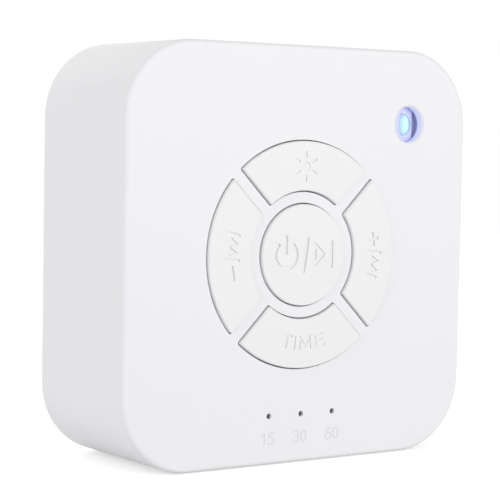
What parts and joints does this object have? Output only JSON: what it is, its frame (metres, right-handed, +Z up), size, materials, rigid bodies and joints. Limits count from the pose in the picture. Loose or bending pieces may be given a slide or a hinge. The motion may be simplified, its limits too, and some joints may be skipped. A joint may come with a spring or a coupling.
{
  "type": "white noise sound machine",
  "caption": "Square upright white noise machine with large round corners, a round group of push keys, a small light window and a rear speaker grille.",
  "frame": {"origin": "middle of the underside's box, on the surface the machine stands on", "axes": "+Z up, the front face with the keys looks along -Y, +X to the right seen from the front"},
  "size_m": [0.09, 0.0364, 0.09],
  "materials": {
    "casing_plastic": "smooth moulded white plastic, satin",
    "key_plastic": "smooth moulded white plastic, satin",
    "clear_plastic": "clear tinted plastic",
    "black_plastic": "matte black plastic",
    "chip_plastic": "moulded chip package",
    "board_laminate": "green coated laminate",
    "rubber": "soft grey rubber",
    "steel": "plated steel",
    "socket_steel": "nickel plated steel",
    "ferrite": "dark sintered ferrite",
    "paper": "pressed paper, dark",
    "seal_foam": "slate blue closed cell foam",
    "foam": "closed cell foam",
    "cloth": "fine woven dust cloth",
    "surround_rubber": "thin black rubber",
    "copper_coil": "enamelled copper winding",
    "battery_foil": "laminated foil pouch",
    "wire_insulation": "insulated wire",
    "connector_plastic": "moulded connector",
    "diode_plastic": "diode package",
    "capacitor_can": "aluminium can"
  },
  "bodies": {
    "casing": {"front_housing": "casing_plastic", "rear_cover": "casing_plastic", "cover_screws": "steel", "rear_feet": "rubber", "main_board": "board_laminate", "board_screws": "steel", "light_lens": "clear_plastic", "light_shield": "seal_foam", "light_diode": "diode_plastic", "timer_light_guide": "clear_plastic", "timer_diodes": "diode_plastic", "speaker_frame": "steel", "speaker_front_plate": "steel", "speaker_magnet": "ferrite", "speaker_yoke": "steel", "speaker_spider": "cloth", "speaker_surround": "surround_rubber", "speaker_gasket": "foam", "grille_cloth": "cloth", "speaker_screws": "steel", "speaker_terminals": "board_laminate", "speaker_lead": "wire_insulation", "speaker_connector": "connector_plastic", "battery_cell": "battery_foil", "battery_pad": "foam", "battery_protection_board": "board_laminate", "battery_lead": "wire_insulation", "battery_connector": "connector_plastic", "usb_port_shell": "socket_steel", "usb_port_tongue": "black_plastic", "sound_processor": "chip_plastic", "memory_chip": "chip_plastic", "amplifier_chip": "chip_plastic", "charge_controller": "chip_plastic", "capacitors": "capacitor_can", "power_switch": "black_plastic", "light_switch": "black_plastic", "next_switch": "black_plastic", "timer_switch": "black_plastic", "previous_switch": "black_plastic"},
    "cone": {"speaker_cone": "paper", "voice_coil": "copper_coil", "dust_cap": "paper"},
    "power_key": {"power_key": "key_plastic"},
    "power_plunger": {"power_plunger": "connector_plastic"},
    "light_key": {"light_key": "key_plastic"},
    "light_plunger": {"light_plunger": "connector_plastic"},
    "next_key": {"next_key": "key_plastic"},
    "next_plunger": {"next_plunger": "connector_plastic"},
    "timer_key": {"timer_key": "key_plastic"},
    "timer_plunger": {"timer_plunger": "connector_plastic"},
    "previous_key": {"previous_key": "key_plastic"},
    "previous_plunger": {"previous_plunger": "connector_plastic"}
  },
  "joints": [
    {"name": "power_key_push", "type": "slide", "parent": "casing", "child": "power_key", "axis": [0, 1, 0], "range_m": [0, 0.0003], "stiffness_N_per_m": 1500},
    {"name": "power_plunger_push", "type": "slide", "parent": "casing", "child": "power_plunger", "axis": [0, 1, 0], "range_m": [0, 0.0003]},
    {"name": "light_key_push", "type": "slide", "parent": "casing", "child": "light_key", "axis": [0, 1, 0], "range_m": [0, 0.0003], "stiffness_N_per_m": 1500},
    {"name": "light_plunger_push", "type": "slide", "parent": "casing", "child": "light_plunger", "axis": [0, 1, 0], "range_m": [0, 0.0003]},
    {"name": "next_key_push", "type": "slide", "parent": "casing", "child": "next_key", "axis": [0, 1, 0], "range_m": [0, 0.0003], "stiffness_N_per_m": 1500},
    {"name": "next_plunger_push", "type": "slide", "parent": "casing", "child": "next_plunger", "axis": [0, 1, 0], "range_m": [0, 0.0003]},
    {"name": "timer_key_push", "type": "slide", "parent": "casing", "child": "timer_key", "axis": [0, 1, 0], "range_m": [0, 0.0003], "stiffness_N_per_m": 1500},
    {"name": "timer_plunger_push", "type": "slide", "parent": "casing", "child": "timer_plunger", "axis": [0, 1, 0], "range_m": [0, 0.0003]},
    {"name": "previous_key_push", "type": "slide", "parent": "casing", "child": "previous_key", "axis": [0, 1, 0], "range_m": [0, 0.0003], "stiffness_N_per_m": 1500},
    {"name": "previous_plunger_push", "type": "slide", "parent": "casing", "child": "previous_plunger", "axis": [0, 1, 0], "range_m": [0, 0.0003]},
    {"name": "cone_travel", "type": "slide", "parent": "casing", "child": "cone", "axis": [0, 1, 0], "range_m": [-0.0005, 0.0005], "stiffness_N_per_m": 1200, "deforming": ["speaker_surround", "speaker_spider"]}
  ],
  "couplings": [
    {"joint": "power_plunger_push", "follows": "power_key_push", "ratio": 1},
    {"joint": "light_plunger_push", "follows": "light_key_push", "ratio": 1},
    {"joint": "next_plunger_push", "follows": "next_key_push", "ratio": 1},
    {"joint": "timer_plunger_push", "follows": "timer_key_push", "ratio": 1},
    {"joint": "previous_plunger_push", "follows": "previous_key_push", "ratio": 1}
  ]
}
